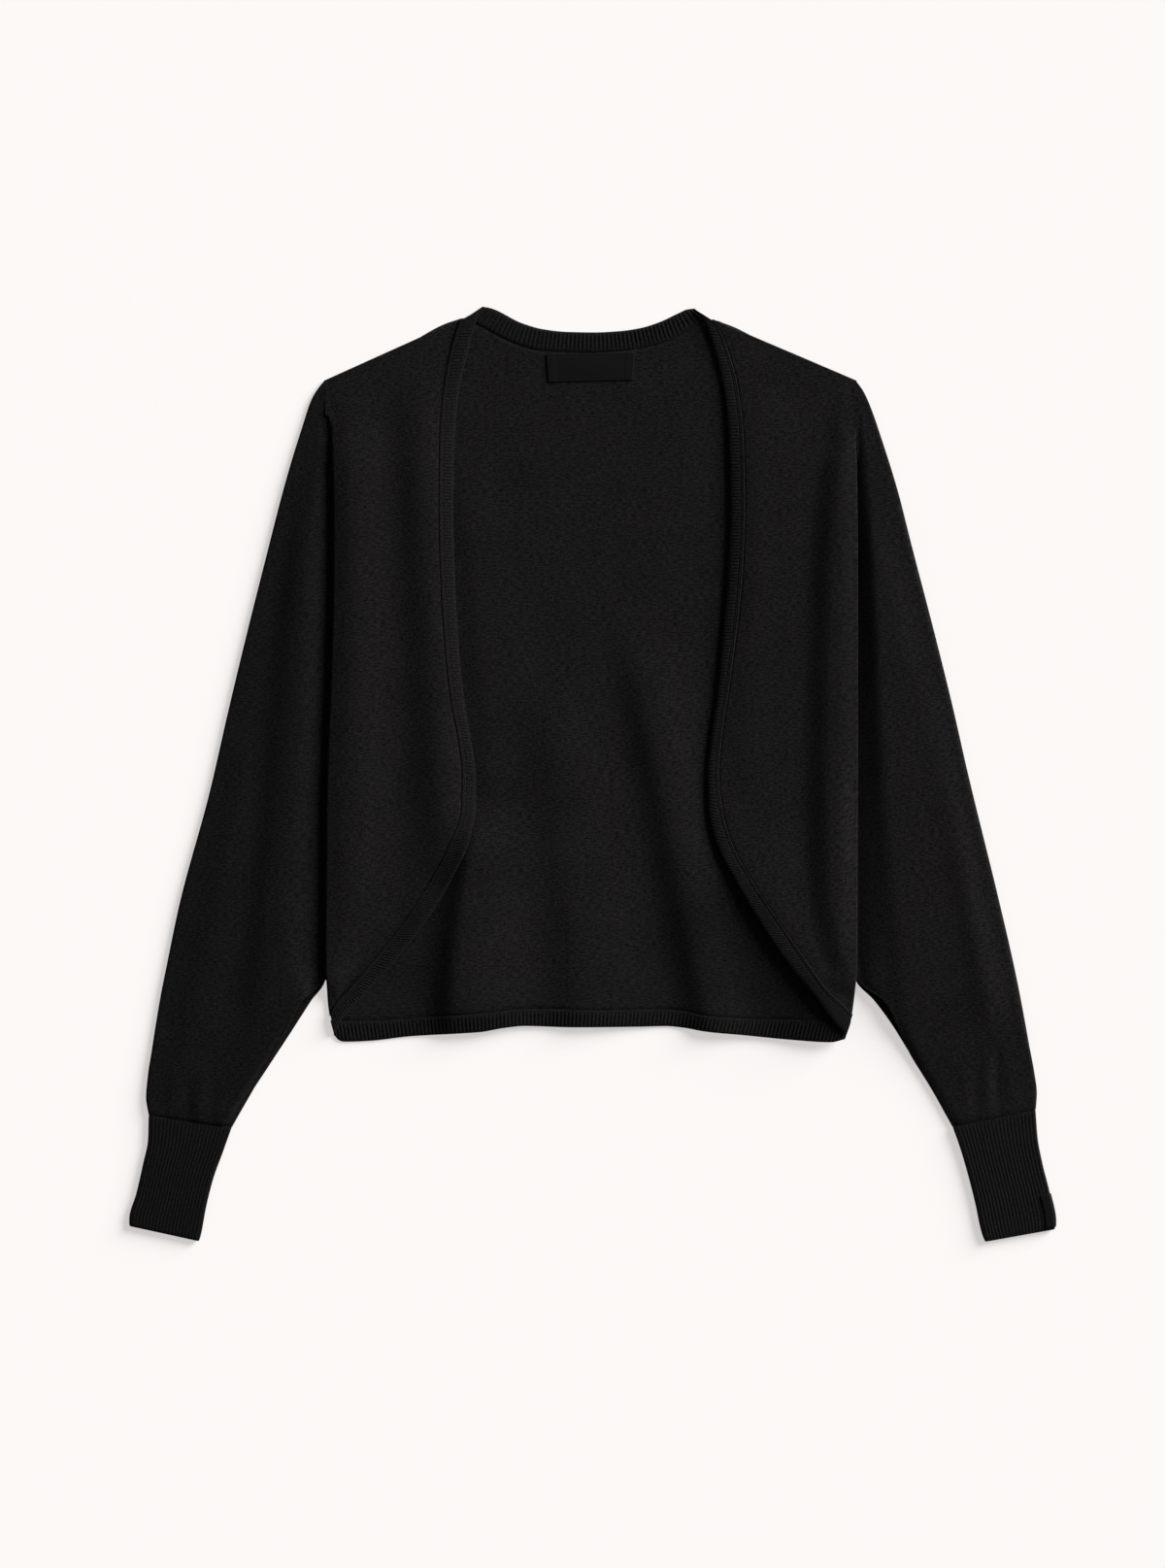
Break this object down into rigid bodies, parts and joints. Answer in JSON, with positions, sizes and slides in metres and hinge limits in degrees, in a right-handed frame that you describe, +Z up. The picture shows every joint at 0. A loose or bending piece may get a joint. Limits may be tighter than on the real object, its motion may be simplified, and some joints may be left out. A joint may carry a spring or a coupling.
{
  "type": "knitted shrug",
  "caption": "Fine-knit batwing shrug laid flat face up: curved open fronts, long tapering sleeves, ribbed cuffs, neck, front and hem bands, bare label and tab.",
  "frame": {"origin": "centre of the garment's footprint, on the surface that it lies on", "axes": "+X to the right as seen from above, +Y from hem to neck, +Z up, away from the surface"},
  "size_m": [0.6878, 0.6924, 0.0064],
  "materials": {
    "jersey": "matte black fine jersey knit",
    "rib": "matte black rib knit",
    "tape": "black satin tape, faint sheen"
  },
  "bodies": {
    "root": {"back_panel": "jersey", "front_left": "jersey", "front_right": "jersey", "sleeve_left": "jersey", "sleeve_right": "jersey", "cuff_left": "rib", "cuff_right": "rib", "neck_band": "rib", "hem_band": "rib", "front_band_left": "rib", "front_band_right": "rib", "neck_label": "tape", "cuff_tab": "tape"}
  },
  "joints": []
}
